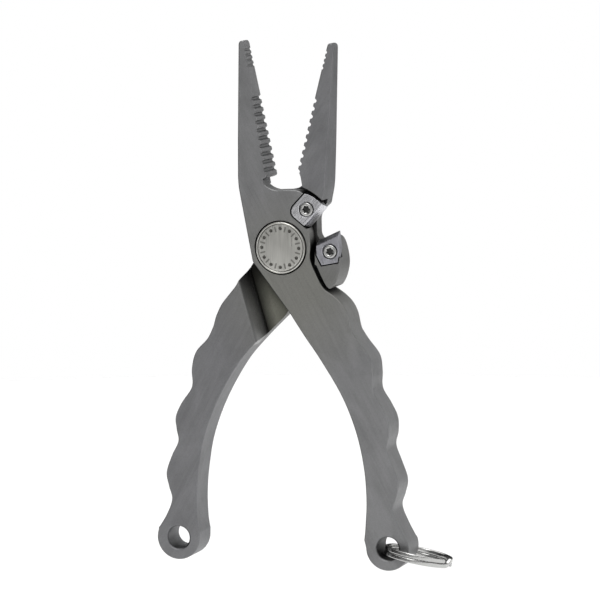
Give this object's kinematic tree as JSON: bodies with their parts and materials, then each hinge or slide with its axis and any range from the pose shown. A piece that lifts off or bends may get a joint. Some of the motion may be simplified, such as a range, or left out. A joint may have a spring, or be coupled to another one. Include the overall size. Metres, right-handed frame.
{
  "type": "fishing pliers",
  "caption": "Long-nose fishing pliers with toothed tapered jaws, side line cutters, scalloped spring-open handles and a split ring in one handle eye.",
  "frame": {"origin": "centre of the pivot bolt's flat front face, on the pivot axis", "axes": "+Z from the handles up to the jaws, +X to the right as seen from the front, -Y out of the pivot bolt's face towards the viewer"},
  "size_m": [0.1012, 0.0229, 0.1743],
  "materials": {
    "titanium": "fine bead-blasted titanium, mid grey, dull sheen",
    "pivot_steel": "satin turned face, lighter than the halves",
    "carbide": "ground carbide with polished bevel",
    "polished_steel": "polished stainless",
    "ring_steel": "bright stainless wire",
    "bronze": "turned bronze",
    "spring_steel": "drawn spring wire"
  },
  "bodies": {
    "front_body": {"front_half": "titanium", "pivot_bolt": "pivot_steel", "head_key_pin": "polished_steel", "pivot_nut": "pivot_steel", "middle_thrust_washer": "bronze", "rear_thrust_washer": "bronze", "torsion_spring": "spring_steel", "upper_cutter": "carbide", "upper_cutter_screw": "polished_steel"},
    "rear_body": {"rear_half": "titanium", "rear_bushing": "bronze", "lower_cutter": "carbide", "lower_cutter_screw": "polished_steel"},
    "ring_body": {"split_ring": "ring_steel"}
  },
  "joints": [
    {"name": "jaws", "type": "hinge", "parent": "front_body", "child": "rear_body", "pos_m": [0, 0.00615, 0], "axis": [0, -1, 0], "range_deg": [0, 23.8], "stiffness_Nm_per_rad": 0.34, "springref_deg": -25.21},
    {"name": "ring_swing", "type": "hinge", "parent": "front_body", "child": "ring_body", "pos_m": [0.0367, 0.00615, -0.0989], "axis": [0, -1, 0], "range_deg": [-150, 60]}
  ]
}
